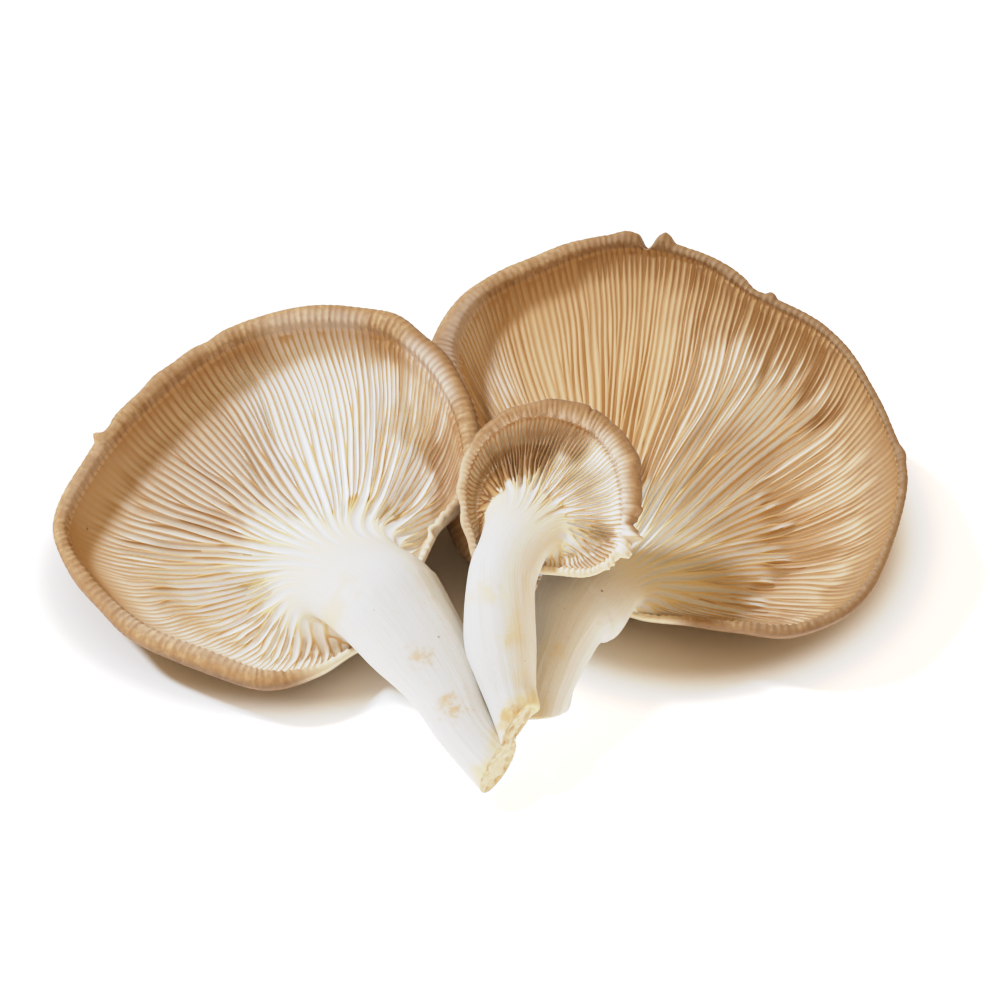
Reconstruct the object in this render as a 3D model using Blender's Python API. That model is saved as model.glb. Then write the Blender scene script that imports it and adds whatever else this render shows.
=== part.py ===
"""Oyster mushroom cluster: three fruit bodies that share one cut base, lying on their caps.

Frame: metres, +Z up. The origin is on the floor, under the middle of the cluster's box.
+X is to the right and +Y is away from the side that shows the gills.
Every length below is in millimetres until a mesh is written.

Each fruit body is one closed skin drawn through a row of rings. The rings run from the cut
end, along the stem, out over the gill face to the margin, round its rolled edge and back
under the cap to its top. The gills themselves are too fine for this solid, so the gill face
is the smooth surface through their edges.
"""
import math

import bpy
import numpy as np

MM = 0.001
COLUMNS = 44
ORIGIN_SHIFT = np.array((4.0, 18.0, 0.0))
FLOOR_SOFTNESS = 1.6
FLOOR_CLEARANCE = 0.05
SEAM = 0.68
SEAM_STATIONS = 12
# How strongly the columns crowd under the stem, and the step for a margin's direction.
RIM_CROWDING = 0.72
TURN_STEP = 0.002
# The gill face sinks to its full depth over about this run from the collar.
DISH_RUN = 14.0
DISH_RIM_POWER = 1.5
# The cap's top: how it rounds off, and how thick its flesh is behind the margin.
DOME_POWER = 2.4
DOME_FULLNESS = 0.75
MARGIN_WIDTH = 0.5
MARGIN_FLESH = 0.8
SHARP_ANGLE = 50.0
FLESH_COLOUR = (0.86, 0.79, 0.68, 1.0)
FLESH_ROUGHNESS = 0.62

# A rim point is (bearing in degrees, reach, lift out of the cap's plane, radius of the roll).
# The first one is under the stem. A stem point is (x, y, z, half width, half height).
# The collar is where stem and cap meet: (half width, half depth, middle, front height, back height).
LEFT = {
    "name": "left_mushroom",
    "junction": (-31.0, -34.0, 18.0),
    "tilt": 17.0,
    "lean": 8.0,
    "stem_bearing": -60.0,
    "rim": (
        (-60, 15.0, -8.0, 0.6), (-30, 15.0, -5.0, 0.6), (-4, 17.0, -1.0, 0.6),
        (13, 20.5, 0.0, 0.8), (25, 30.0, 0.0, 1.5), (40, 36.5, 0.0, 2.0),
        (60, 45.5, 0.0, 2.2), (78, 53.5, 0.0, 2.3), (95, 56.5, 0.0, 2.3),
        (113, 57.5, 0.0, 2.1), (134, 56.0, 0.0, 1.8), (153, 56.0, 0.0, 1.5),
        (170, 56.0, 0.0, 1.4), (186, 47.5, 0.0, 1.7), (203, 39.5, 0.0, 2.0),
        (220, 33.0, 0.0, 2.2), (242, 29.0, -0.5, 2.0), (263, 22.5, -2.5, 1.0),
        (279, 17.0, -6.0, 0.7),
    ),
    "dish": (8.0, 2.0, 110.0),
    "dome": 23.0,
    "apex": (-12.0, 22.0),
    "collar": (12.0, 9.0, (1.5, -2.5), -0.5, -1.0),
    "stem": (
        (-0.2, -73.8, 6.0, 5.6, 5.2), (-2.6, -71.5, 7.0, 5.7, 5.5),
        (-5.6, -68.0, 9.0, 6.1, 5.9), (-10.0, -60.4, 13.0, 7.6, 7.0),
        (-15.4, -53.5, 16.8, 9.2, 8.0), (-20.3, -46.6, 19.0, 10.4, 8.8),
    ),
    "cut": (0.2, 0.3),
}
RIGHT = {
    "name": "right_mushroom",
    "junction": (26.0, -34.0, 13.0),
    "tilt": 15.0,
    "lean": 7.0,
    "stem_bearing": -123.0,
    "rim": (
        (-148, 12.0, -4.5, 0.7), (-126, 7.0, -3.0, 0.6), (-84, 8.0, -1.5, 0.6), (-53, 13.0, 0.0, 0.7),
        (-36, 21.0, 0.0, 1.0), (-24, 33.5, 0.0, 1.1), (-12, 41.5, 0.0, 1.0),
        (4, 48.0, 0.0, 0.8), (20, 55.0, 0.0, 0.7), (36, 60.0, 0.0, 0.8),
        (53, 66.0, 0.0, 0.9), (68, 69.0, 0.0, 1.0), (79, 75.5, 0.0, 1.2),
        (92, 79.5, 0.0, 1.5), (105, 77.5, 0.0, 1.9), (117, 75.0, 0.0, 2.1),
        (125, 69.5, -0.5, 2.7), (137, 53.0, -5.0, 4.0), (156, 41.0, -5.5, 3.2),
        (167, 33.0, -5.0, 2.2), (175, 23.0, -4.5, 1.4), (192, 17.0, -5.0, 1.0),
    ),
    "dish": (6.5, 2.5, 120.0),
    "dome": 22.5,
    "apex": (6.0, 35.0),
    "collar": (11.0, 6.8, (-6.5, 2.5), -0.5, -1.5),
    "stem": (
        (6.2, -61.7, 6.6, 5.0, 5.0), (6.8, -59.6, 7.4, 5.3, 5.2),
        (8.3, -55.1, 9.2, 5.8, 5.7), (10.4, -50.1, 11.2, 6.2, 6.2),
        (12.4, -45.3, 13.2, 7.7, 6.8), (14.8, -41.3, 14.5, 9.8, 7.4),
    ),
    "cut": (0.2, -0.7),
}
SMALL = {
    "name": "small_mushroom",
    "junction": (5.2, -40.6, 32.0),
    "tilt": 36.0,
    "lean": 0.0,
    "stem_bearing": -112.0,
    "rim": (
        (-112, 7.5, -3.0, 0.6), (-83, 7.0, -1.0, 0.6), (-56, 9.0, 0.0, 0.6),
        (-32, 14.5, 0.0, 0.7), (-8, 19.0, 0.0, 1.2), (14, 21.5, 0.0, 2.0),
        (35, 24.5, 0.0, 2.3), (55, 26.0, 0.0, 2.1), (75, 25.5, 0.0, 1.7),
        (95, 24.0, 0.0, 1.3), (115, 21.0, 0.0, 1.0), (138, 17.0, 0.0, 0.8),
        (160, 13.5, 0.0, 0.7), (183, 11.5, 0.0, 0.7), (205, 11.0, -1.0, 0.7),
        (227, 9.0, -3.0, 0.7),
    ),
    "dish": (4.0, 1.0, 120.0),
    "dome": 11.0,
    "apex": (2.0, 6.0),
    "collar": (7.5, 6.2, (-0.5, 1.6), 0.5, -1.0),
    "stem": (
        (3.0, -70.4, 12.0, 3.4, 3.4), (2.4, -67.4, 12.8, 4.2, 4.0),
        (1.5, -63.5, 14.5, 5.0, 4.6), (0.4, -58.1, 19.5, 6.1, 5.4),
        (0.0, -53.2, 25.0, 6.2, 5.6), (0.5, -48.2, 29.0, 6.3, 5.6),
    ),
    "cut": (0.2, 0.2),
}
SMALL["grows_on"] = (LEFT, RIGHT)
FRUIT_BODIES = (LEFT, RIGHT, SMALL)

# How far the gill face has sunk below the margin's plane, as shares of the dish's depth.
GILL_RINGS = ((0.22, 0.55), (0.45, 0.92), (0.68, 1.0), (0.86, 0.78), (0.95, 0.50))
# Directions round the rolled margin, from its inner lip to its outer side.
ROLL_TURNS = (205, 135, 75, 20, -40)
# The cap's top: shares of the rim's reach.
TOP_RINGS = (0.93, 0.80, 0.62, 0.42, 0.22, 0.08)


def closed_curve(points, turns):
    """Smooth closed curve through points, read at turns (0 to 1 along its length)."""
    points = np.asarray(points, float)
    count = len(points)
    steps = np.linalg.norm((np.roll(points, -1, 0) - points)[:, :2], axis=1)
    knots = np.concatenate(([0.0], np.cumsum(steps)))
    ahead = np.roll(points, -1, 0) - points
    behind = points - np.roll(points, 1, 0)
    step_back = np.roll(steps, 1)[:, None]
    step_on = steps[:, None]
    slopes = (ahead / step_on * step_back + behind / step_back * step_on) / (step_back + step_on)
    along = (np.asarray(turns) % 1.0) * knots[-1]
    span = np.clip(np.searchsorted(knots, along, side="right") - 1, 0, count - 1)
    width = steps[span][:, None]
    part = (along - knots[span])[:, None] / width
    after = (span + 1) % count
    return ((1 + 2 * part) * (1 - part) ** 2 * points[span]
            + part * (1 - part) ** 2 * width * slopes[span]
            + part ** 2 * (3 - 2 * part) * points[after]
            + part ** 2 * (part - 1) * width * slopes[after])


def cap_axes(body):
    """The cap's right, away and gill-side directions."""
    tilt = math.radians(body["tilt"])
    lean = math.radians(body["lean"])
    right = np.array((1.0, 0.0, 0.0))
    away = np.array((0.0, math.cos(tilt), math.sin(tilt)))
    normal = np.array((0.0, -math.sin(tilt), math.cos(tilt)))
    return (right * math.cos(lean) + normal * math.sin(lean), away,
            normal * math.cos(lean) - right * math.sin(lean))


def stem_frames(body):
    """Each stem point's centre, half width, half height, and forward, side and up directions."""
    stem = np.array(body["stem"], float)
    frames = []
    for index, (x, y, z, half_width, half_height) in enumerate(stem):
        before = stem[max(index - 1, 0)][:3]
        following = stem[index + 1][:3] if index + 1 < len(stem) else np.array(body["junction"])
        forward = (following - before) / np.linalg.norm(following - before)
        side = np.cross(forward, (0.0, 0.0, 1.0))
        side /= np.linalg.norm(side)
        centre = np.array((x, y, z))
        frames.append((centre, half_width, half_height, forward, side, np.cross(side, forward)))
    return frames


def clear_of(points, neighbour):
    """Moves points that lie in a neighbour's stem out to its skin, plus the seam's width."""
    points = points.copy()
    frames = stem_frames(neighbour)
    stations = []
    for here, there in zip(frames, frames[1:]):
        for part in np.arange(SEAM_STATIONS) / SEAM_STATIONS:
            stations.append([a * (1 - part) + b * part for a, b in zip(here, there)])
    centres = np.array([station[0] for station in stations])
    for index, point in enumerate(points):
        nearest = np.argmin(np.linalg.norm(centres - point, axis=1))
        centre, half_width, half_height, forward, side, up = stations[nearest]
        offset = point - centre
        along_side = offset @ side
        along_up = offset @ up
        share = math.hypot(along_side / (half_width + SEAM), along_up / (half_height + SEAM))
        if share < 1.0:
            points[index] += (side * along_side + up * along_up) * (1 / share - 1)
    return points


def rim_turns(columns):
    """Columns crowd under the stem, where the margin is short and the stem is wide."""
    return columns - RIM_CROWDING * np.sin(2 * np.pi * columns) / (2 * np.pi)


def rings_of(body, columns):
    """All rings of a fruit body at the given columns: array (ring, column, xyz)."""
    columns = np.asarray(columns, float)
    angle = 2 * np.pi * columns
    sine = np.sin(angle)[:, None]
    cosine = np.cos(angle)[:, None]
    right, away, normal = cap_axes(body)
    junction = np.array(body["junction"])
    rings = []

    for index, (centre, half_width, half_height, forward, side, up) in enumerate(stem_frames(body)):
        ring = centre + sine * half_width * side - cosine * half_height * up
        if index == 0:
            across_cut, down_cut = body["cut"]
            ring += forward * (across_cut * sine * half_width - down_cut * cosine * half_height)
        for neighbour in body.get("grows_on", ()):
            ring = clear_of(ring, neighbour)
        rings.append(ring)

    bearing = math.radians(body["stem_bearing"])
    outward = np.array((math.cos(bearing), math.sin(bearing)))
    across = np.array((-outward[1], outward[0]))
    half_width, reach, middle, front_height, back_height = body["collar"]
    flat = np.array(middle) + across * sine * half_width + outward * cosine * reach
    height = (front_height + back_height) / 2 + cosine[:, 0] * (front_height - back_height) / 2
    collar = np.column_stack((flat, height))

    rim_points = []
    for bearing_degrees, distance, lift, roll in body["rim"]:
        bearing = math.radians(bearing_degrees)
        rim_points.append((distance * math.cos(bearing), distance * math.sin(bearing), lift, roll))
    turns = rim_turns(columns)
    rim = closed_curve(rim_points, turns)
    tangent = closed_curve(rim_points, turns + TURN_STEP) - closed_curve(rim_points, turns - TURN_STEP)
    tangent = tangent[:, :2] / np.linalg.norm(tangent[:, :2], axis=1)[:, None]
    outside = np.column_stack((tangent[:, 1], -tangent[:, 0]))
    roll = rim[:, 3]
    core = rim[:, :2] - outside * roll[:, None]

    depth, swing, low_bearing = body["dish"]
    facing = np.arctan2(rim[:, 1], rim[:, 0]) - math.radians(low_bearing)
    span = np.linalg.norm(core - collar[:, :2], axis=1)
    sunk = (depth + swing * np.cos(facing)) * (1 - np.exp(-span / DISH_RUN))

    def place(flat_points, heights):
        return (junction + flat_points[:, :1] * right + flat_points[:, 1:2] * away
                + np.asarray(heights)[:, None] * normal)

    rings.append(place(collar[:, :2], collar[:, 2]))
    lip = core - outside * roll[:, None]
    for share, sink in GILL_RINGS:
        points = collar[:, :2] * (1 - share) + lip * share
        base = collar[:, 2] * (1 - share) ** 2 + rim[:, 2] * share ** DISH_RIM_POWER
        rings.append(place(points, base - sunk * sink))
    for turn in ROLL_TURNS:
        turn = math.radians(turn)
        points = core + outside * (roll * math.cos(turn))[:, None]
        rings.append(place(points, rim[:, 2] + roll * math.sin(turn)))
    apex = np.array(body["apex"])
    for share in TOP_RINGS:
        points = apex * (1 - share) + (core + outside * roll[:, None] * MARGIN_WIDTH) * share
        drop = body["dome"] * (1 - share ** DOME_POWER) ** DOME_FULLNESS
        heights = rim[:, 2] * share ** 2 - roll * MARGIN_FLESH - drop
        ring = place(points, heights)
        above = ring[:, 2] - FLOOR_CLEARANCE
        ring[:, 2] = FLOOR_CLEARANCE + FLOOR_SOFTNESS * np.logaddexp(0.0, above / FLOOR_SOFTNESS)
        rings.append(ring)
    return np.array(rings)


def skin(body, columns, rows):
    """Points of the skin: rows are ring numbers with fractions, joined by a smooth curve."""
    rings = rings_of(body, columns)
    last = len(rings) - 1
    padded = np.concatenate((rings[:1], rings, rings[-1:]))
    result = []
    for row in rows:
        index = min(int(row), last - 1)
        part = row - index
        before, start, end, after = padded[index:index + 4]
        chord = np.linalg.norm(end - start, axis=1)[:, None] + 1e-9
        chord_back = np.linalg.norm(start - before, axis=1)[:, None]
        chord_on = np.linalg.norm(after - end, axis=1)[:, None]
        flow_in = (end - start) / chord
        if index > 0:
            flow_in = ((end - start) * chord_back / chord + (start - before) * chord / chord_back)
            flow_in = flow_in / (chord_back + chord)
        flow_out = (end - start) / chord
        if index < last - 1:
            flow_out = ((after - end) * chord / chord_on + (end - start) * chord_on / chord)
            flow_out = flow_out / (chord + chord_on)
        result.append((1 + 2 * part) * (1 - part) ** 2 * start
                      + part * (1 - part) ** 2 * chord * flow_in
                      + part ** 2 * (3 - 2 * part) * end
                      + part ** 2 * (part - 1) * chord * flow_out)
    return np.array(result)


def ring_rows(body):
    """Rows of the solid: every ring, with one more between wide steps."""
    stem_rings = len(body["stem"])
    total = stem_rings + 1 + len(GILL_RINGS) + len(ROLL_TURNS) + len(TOP_RINGS)
    rows = []
    for ring in range(total - 1):
        rows.append(float(ring))
        if ring < stem_rings + 3 or ring >= total - len(TOP_RINGS):
            rows.append(ring + 0.5)
    rows.append(float(total - 1))
    return rows


def make_mushroom(body):
    columns = np.arange(COLUMNS) / COLUMNS
    grid = skin(body, columns, ring_rows(body))
    first = grid[0].mean(axis=0)
    last = grid[-1].mean(axis=0)
    vertices = np.concatenate((grid.reshape(-1, 3), [first, last])) + ORIGIN_SHIFT
    row_count = len(grid)
    faces = []
    for row in range(row_count - 1):
        for column in range(COLUMNS):
            following = (column + 1) % COLUMNS
            faces.append((row * COLUMNS + column, (row + 1) * COLUMNS + column,
                          (row + 1) * COLUMNS + following, row * COLUMNS + following))
    first_index = row_count * COLUMNS
    top = (row_count - 1) * COLUMNS
    for column in range(COLUMNS):
        following = (column + 1) % COLUMNS
        faces.append((first_index, column, following))
        faces.append((first_index + 1, top + following, top + column))
    mesh = bpy.data.meshes.new(body["name"])
    mesh.from_pydata([tuple(point * MM) for point in vertices], [], faces)
    mesh.shade_smooth()
    mesh.set_sharp_from_angle(angle=math.radians(SHARP_ANGLE))
    mushroom = bpy.data.objects.new(body["name"], mesh)
    mushroom.data.materials.append(flesh_material(body["name"] + "_flesh"))
    bpy.context.scene.collection.objects.link(mushroom)
    return mushroom


def flesh_material(name):
    material = bpy.data.materials.new(name)
    material.use_nodes = True
    shader = material.node_tree.nodes["Principled BSDF"]
    shader.inputs["Base Color"].default_value = FLESH_COLOUR
    shader.inputs["Roughness"].default_value = FLESH_ROUGHNESS
    shader.inputs["Metallic"].default_value = 0.0
    return material


for existing in list(bpy.data.objects):
    bpy.data.objects.remove(existing, do_unlink=True)

for fruit_body in FRUIT_BODIES:
    make_mushroom(fruit_body)
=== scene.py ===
import math

import bpy
import mathutils
import numpy as np
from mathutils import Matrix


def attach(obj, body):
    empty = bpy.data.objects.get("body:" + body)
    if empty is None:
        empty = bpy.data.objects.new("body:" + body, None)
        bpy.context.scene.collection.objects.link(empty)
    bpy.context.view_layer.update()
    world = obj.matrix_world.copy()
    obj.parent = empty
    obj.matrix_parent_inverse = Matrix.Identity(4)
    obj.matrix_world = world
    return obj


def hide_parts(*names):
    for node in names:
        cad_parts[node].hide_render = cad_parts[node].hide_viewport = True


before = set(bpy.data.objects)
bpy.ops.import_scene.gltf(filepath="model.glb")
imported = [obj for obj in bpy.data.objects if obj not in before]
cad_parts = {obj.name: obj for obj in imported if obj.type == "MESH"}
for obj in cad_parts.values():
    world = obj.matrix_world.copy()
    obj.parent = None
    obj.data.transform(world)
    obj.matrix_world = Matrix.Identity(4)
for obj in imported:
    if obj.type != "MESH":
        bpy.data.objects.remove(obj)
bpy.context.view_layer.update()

MM = 0.001
ORIGIN_SHIFT = np.array((4.0, 18.0, 0.0))
FLOOR_SOFTNESS = 1.6
FLOOR_CLEARANCE = 0.05
SEAM = 0.2
SEAM_STATIONS = 12
TINY = 1e-12
KNIFE_POINT = np.array((-0.2, -73.8, 6.0))
KNIFE_NORMAL = np.array((0.816, -0.571, -0.061))

# ---- fruit bodies
# A turn is a place round the margin, 0 at the stem; a share is 0 at the collar, 1 at the margin.
# rim: (bearing in degrees, reach, lift out of the cap's plane, radius of the roll), from the stem on.
# dish: how deep the gill face sinks, how much that varies, and the bearing of the deep side.
# dome, apex: how far the cap's top bulges, and where.
# collar: where stem and cap meet (half width, half depth, middle, front height, back height).
# stem: (x, y, z, half width, half height). knife: cut in the common plane, or else cut is the
#     slope of its own cut (across, down).
# side_shade_paint: painted shade, a beige tinge down one side of the stem (from side, to side, strength).
# gills, gill_depth, blade: their number, depth, and half thickness as a share of their place.
# deep_from: the length of gill face from which the gills have their full depth.
# sway: sideways waves, in gills. fork: how late the short gills start.
# smooth: where the gills flatten at the margin (turn, half width, height left).
# bare: where the brown skin is missing (turn, half width, strength).
# tones: patches of painted shade, painted light and painted flat shade on the gill face (turn, half width,
# from share, to share, strength).
# torn: torn parts of the margin (turn, half width, how far the shreds reach).
# stains: (x, y, z, radius, all in metres, and strength). rim_painted_highlight: how strong the painted
# highlight along the roll's inner side is.
# marks: flaws of the margin (turn, half width, extra reach, extra lift).
# grows_on: the bodies its stem is pressed against.
LEFT = {
    "name": "left_mushroom",
    "junction": (-31.0, -34.0, 18.0),
    "tilt": 17.0,
    "lean": 8.0,
    "stem_bearing": -60.0,
    "rim": (
        (-60, 15.0, -8.0, 0.5), (-30, 15.0, -5.0, 0.5), (-4, 17.0, -1.0, 0.5),
        (13, 20.5, 0.0, 0.8), (25, 30.0, 0.0, 1.5), (40, 36.5, 0.0, 2.0),
        (60, 45.5, 0.0, 2.2), (78, 53.5, 0.0, 2.3), (95, 56.5, 0.0, 2.3),
        (113, 57.5, 0.0, 2.1), (134, 56.0, 0.0, 1.8), (153, 56.0, 0.0, 1.5),
        (170, 56.0, 0.0, 1.4), (186, 47.5, 0.0, 1.7), (203, 39.5, 0.0, 2.0),
        (220, 33.0, 0.0, 2.2), (242, 29.0, -0.5, 2.0), (263, 22.5, -2.5, 1.0),
        (279, 17.0, -6.0, 0.6),
    ),
    "dish": (8.0, 2.0, 110.0),
    "dome": 23.0,
    "apex": (-12.0, 22.0),
    "collar": (12.0, 9.0, (1.5, -2.5), -0.5, -1.0),
    "stem": (
        (-0.2, -73.8, 6.0, 5.6, 5.2), (-2.6, -71.5, 7.0, 5.7, 5.5),
        (-5.6, -68.0, 9.0, 6.1, 5.9), (-10.0, -60.4, 13.0, 7.6, 7.0),
        (-15.4, -53.5, 16.8, 9.2, 8.0), (-20.3, -46.6, 19.0, 10.4, 8.8),
    ),
    "knife": True,
    "side_shade_paint": (0.35, 1.0, 0.55),
    "gills": 168,
    "gill_depth": 2.1,
    "blade": 0.16,
    "deep_from": 34.0,
    "sway": 0.45,
    "fork": 1.0,
    "smooth": ((0.70, 0.24, 0.05), (0.86, 0.12, 0.3)),
    "bare": ((0.02, 0.10, 1.0),),
    # Patches of painted shade, painted light and painted flat shade on the gill face.
    "tones": {
        "painted_shade": ((0.19, 0.06, 0.5, 0.92, 0.6), (0.53, 0.15, 0.32, 0.92, 0.5),
            (0.49, 0.1, 0.88, 1.0, 0.3), (0.95, 0.04, 0.0, 0.7, 0.3),
            (0.47, 0.09, 0.15, 0.4, 0.4)),
        "painted_light": ((0.39, 0.11, 0.12, 0.93, 0.8), (0.27, 0.13, 0.12, 0.62, 0.7),
            (0.25, 0.05, 0.88, 1.2, 0.45), (0.83, 0.1, 0.82, 1.0, 0.4),
            (0.38, 0.06, 0.85, 1.0, 0.6), (0.62, 0.05, 0.88, 1.0, 0.3),
            (0.76, 0.09, 0.2, 0.62, 0.5)),
        "painted_flat_shade": ((0.68, 0.12, 0.8, 1.0, 0.4),),
    },
    "torn": ((0.085, 0.025, 0.3),),
    "stains": ((-0.0188, -0.0355, 0.0253, 0.00030, 1.0), (-0.0071, -0.0396, 0.0227, 0.00030, 1.0),
               (-0.0102, -0.0431, 0.0213, 0.0030, 0.6), (-0.0047, -0.0506, 0.0157, 0.0036, 0.7),
               (-0.0758, -0.0007, 0.0108, 0.00038, 1.0)),
    "rim_painted_highlight": 0.15,
    "marks": ((0.586, 0.006, 0.9, 0.5), (0.574, 0.010, -0.4, 0.0), (0.52, 0.02, 0.5, 0.0),
              (0.47, 0.015, -0.4, 0.0)),
    "seed": 11,
}
RIGHT = {
    "name": "right_mushroom",
    "junction": (26.0, -34.0, 13.0),
    "tilt": 15.0,
    "lean": 7.0,
    "stem_bearing": -123.0,
    "rim": (
        (-148, 12.0, -4.5, 0.6), (-126, 7.0, -3.0, 0.5), (-84, 8.0, -1.5, 0.5), (-53, 13.0, 0.0, 0.7),
        (-36, 21.0, 0.0, 1.0), (-24, 33.5, 0.0, 1.1), (-12, 41.5, 0.0, 1.0),
        (4, 48.0, 0.0, 0.8), (20, 55.0, 0.0, 0.7), (36, 60.0, 0.0, 0.8),
        (53, 66.0, 0.0, 0.9), (68, 69.0, 0.0, 1.0), (79, 75.5, 0.0, 1.2),
        (92, 79.5, 0.0, 1.5), (105, 77.5, 0.0, 1.9), (117, 75.0, 0.0, 2.1),
        (125, 69.5, -0.5, 2.7), (137, 53.0, -5.0, 4.0), (156, 41.0, -5.5, 3.2),
        (167, 33.0, -5.0, 2.2), (175, 23.0, -4.5, 1.4), (192, 17.0, -5.0, 1.0),
    ),
    "dish": (6.5, 2.5, 120.0),
    "dome": 22.5,
    "apex": (6.0, 35.0),
    "collar": (11.0, 6.8, (-6.5, 2.5), -0.5, -1.5),
    "stem": (
        (6.2, -61.7, 6.6, 5.0, 5.0), (6.8, -59.6, 7.4, 5.3, 5.2),
        (8.3, -55.1, 9.2, 5.8, 5.7), (10.4, -50.1, 11.2, 6.2, 6.2),
        (12.4, -45.3, 13.2, 7.7, 6.8), (14.8, -41.3, 14.5, 9.8, 7.4),
    ),
    "knife": False,
    "side_shade_paint": (-1.2, 0.4, 0.40),
    "cut": (0.2, -0.7),
    "gills": 208,
    "gill_depth": 1.9,
    "blade": 0.14,
    "deep_from": 40.0,
    "sway": 0.8,
    "fork": 1.0,
    "smooth": ((0.25, 0.16, 0.15),),
    "bare": ((0.01, 0.065, 1.0),),
    # Patches of painted shade, painted light and painted flat shade on the gill face.
    "tones": {
        "painted_shade": ((0.34, 0.34, 0.84, 1.03, 0.8), (0.77, 0.1, 0.35, 0.66, 0.5),
            (0.55, 0.08, 0.75, 0.95, 0.35), (0.19, 0.08, 0.48, 0.86, 0.22),
            (0.35, 0.13, 0.2, 0.6, 0.15), (0.145, 0.06, 0.7, 1.03, 0.5),
            (0.13, 0.06, 0.96, 1.2, 0.7), (0.5, 0.05, 0.96, 1.2, 0.5)),
        "painted_light": ((0.12, 0.05, 0.2, 0.6, 0.3), (0.74, 0.07, 0.72, 1.05, 0.35)),
        "painted_flat_shade": ((0.65, 0.22, 0.26, 0.97, 0.95), (0.26, 0.15, 0.5, 0.95, 0.6)),
    },
    "torn": (),
    "stains": ((0.0228, -0.0266, 0.0209, 0.00030, 1.0), (0.0158, -0.0297, 0.0195, 0.00030, 1.0)),
    "rim_painted_highlight": 0.15,
    "marks": ((0.545, 0.009, 1.1, 1.2), (0.557, 0.007, -1.3, -1.6), (0.572, 0.014, 0.4, 0.5),
              (0.457, 0.006, 0.6, 0.4), (0.470, 0.012, -0.5, 0.0), (0.30, 0.010, 0.5, 0.0)),
    "seed": 23,
}
SMALL = {
    "name": "small_mushroom",
    "junction": (5.2, -40.6, 32.0),
    "tilt": 36.0,
    "lean": 0.0,
    "stem_bearing": -112.0,
    "rim": (
        (-112, 7.5, -3.0, 0.6), (-83, 7.0, -1.0, 0.6), (-56, 9.0, 0.0, 0.6),
        (-32, 14.5, 0.0, 0.7), (-8, 19.0, 0.0, 1.2), (14, 21.5, 0.0, 2.0),
        (35, 24.5, 0.0, 2.3), (55, 26.0, 0.0, 2.1), (75, 25.5, 0.0, 1.7),
        (95, 24.0, 0.0, 1.3), (115, 21.0, 0.0, 1.0), (138, 17.0, 0.0, 0.8),
        (160, 13.5, 0.0, 0.7), (183, 11.5, 0.0, 0.7), (205, 11.0, -1.0, 0.7),
        (227, 9.0, -3.0, 0.7),
    ),
    "dish": (4.0, 1.0, 120.0),
    "dome": 11.0,
    "apex": (2.0, 6.0),
    "collar": (7.5, 6.2, (-0.5, 1.6), 0.5, -1.0),
    "stem": (
        (3.0, -70.4, 12.0, 3.4, 3.4), (2.4, -67.4, 12.8, 4.2, 4.0),
        (1.5, -63.5, 14.5, 5.0, 4.6), (0.4, -58.1, 19.5, 6.1, 5.4),
        (0.0, -53.2, 25.0, 6.2, 5.6), (0.5, -48.2, 29.0, 6.3, 5.6),
    ),
    "knife": True,
    "side_shade_paint": (-0.25, 0.55, 0.60),
    "grows_on": (LEFT, RIGHT),
    "gills": 104,
    "gill_depth": 1.7,
    "blade": 0.11,
    "deep_from": 14.0,
    "sway": 0.12,
    "fork": 0.65,
    "smooth": (),
    "bare": ((0.10, 0.16, 1.0), (0.85, 0.14, 0.45)),
    # Patches of painted shade, painted light and painted flat shade on the gill face.
    "tones": {
        "painted_shade": ((0.79, 0.21, 0.1, 0.52, 1.0), (0.79, 0.21, 0.45, 0.74, 0.6),
            (0.79, 0.21, 0.7, 0.97, 0.25), (0.62, 0.12, 0.25, 0.68, 0.8),
            (0.54, 0.1, 0.42, 0.97, 0.5), (0.15, 0.1, 0.72, 1.0, 0.55)),
        "painted_light": ((0.36, 0.14, 0.0, 0.99, 1.0), (0.47, 0.07, 0.0, 0.62, 0.9),
            (0.23, 0.05, 0.9, 1.2, 0.9), (0.4, 0.09, 0.96, 1.2, 0.4),
            (0.06, 0.05, 0.2, 0.9, 0.35)),
        "painted_flat_shade": (),
    },
    "torn": ((0.205, 0.06, 0.42),),
    "stains": ((0.0084, -0.0440, 0.0211, 0.00030, 1.0), (0.0056, -0.0524, 0.0156, 0.0032, 0.8),
               (0.0050, -0.0549, 0.0139, 0.0024, 0.5), (0.0068, -0.0420, 0.0248, 0.0020, 0.3)),
    "rim_painted_highlight": 0.8,
    "marks": ((0.235, 0.012, 0.9, 0.8), (0.255, 0.010, -0.8, 0.3), (0.205, 0.010, 0.7, -0.6),
              (0.28, 0.012, 0.6, 0.6), (0.49, 0.006, -0.4, 0.0)),
    "seed": 37,
}
FRUIT_BODIES = (LEFT, RIGHT, SMALL)

GILL_RINGS = ((0.22, 0.55), (0.45, 0.92), (0.68, 1.0), (0.86, 0.78), (0.95, 0.50))
ROLL_TURNS = (205, 135, 75, 20, -40)
TOP_RINGS = (0.93, 0.80, 0.62, 0.42, 0.22, 0.08)
COLUMN_CROWDING = 0.72
TANGENT_STEP = 0.002
DISH_RUN = 14.0         # how far from the collar the dish takes to sink
ROLL_ON_TOP = (0.5, 0.8)    # shares of the roll's radius that the top stays inside and below
DOME_POWERS = (2.4, 0.75)
# Share of the way from the collar to the margin, from the stem's last ring on.
FACE_SHARES = (-0.22, 0.0, 0.22, 0.45, 0.68, 0.86, 0.95, 1.0)


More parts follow.
